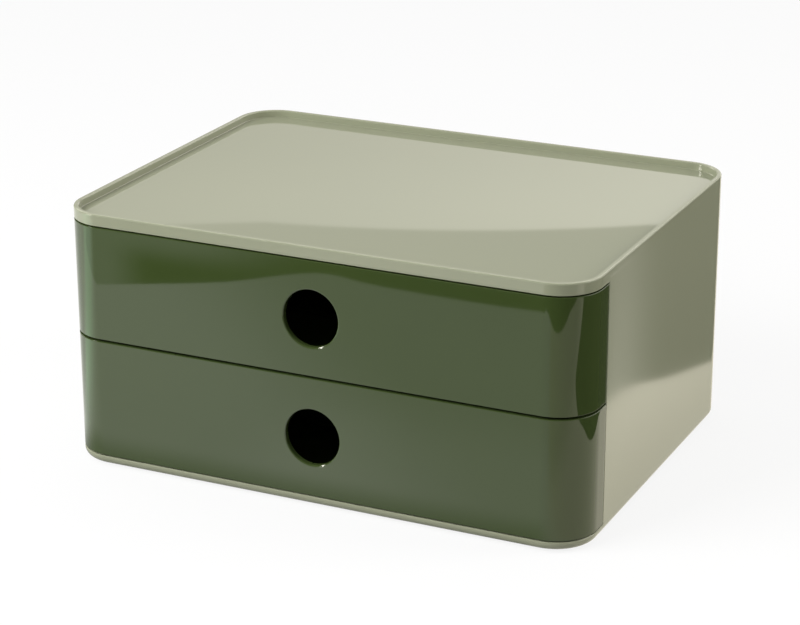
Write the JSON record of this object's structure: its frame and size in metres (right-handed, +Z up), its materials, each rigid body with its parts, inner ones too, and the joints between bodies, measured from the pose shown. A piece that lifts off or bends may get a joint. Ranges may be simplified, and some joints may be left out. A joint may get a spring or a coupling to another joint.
{
  "type": "desk drawer box",
  "caption": "Flat desk box with drawers that wrap round its front corners, round finger holes and a rimmed tray on top.",
  "frame": {"origin": "middle of the box's footprint, on the surface that it stands on", "axes": "+X to the right seen from the front, -Y to the front where the drawers slide out, +Z up"},
  "size_m": [0.26, 0.195, 0.125],
  "materials": {
    "case_plastic": "satin, grey-green, with a gloss on the tray",
    "drawer_plastic": "high gloss, dark olive green",
    "foot_rubber": "matt black rubber"
  },
  "bodies": {
    "case": {"case_shell": "case_plastic", "foot_front_left": "foot_rubber", "foot_front_right": "foot_rubber", "foot_rear_left": "foot_rubber", "foot_rear_right": "foot_rubber"},
    "upper_drawer": {"upper_drawer": "drawer_plastic"},
    "lower_drawer": {"lower_drawer": "drawer_plastic"}
  },
  "joints": [
    {"name": "upper_drawer_slide", "type": "slide", "parent": "case", "child": "upper_drawer", "axis": [0, -1, 0], "range_m": [0, 0.134]},
    {"name": "lower_drawer_slide", "type": "slide", "parent": "case", "child": "lower_drawer", "axis": [0, -1, 0], "range_m": [0, 0.134]}
  ]
}
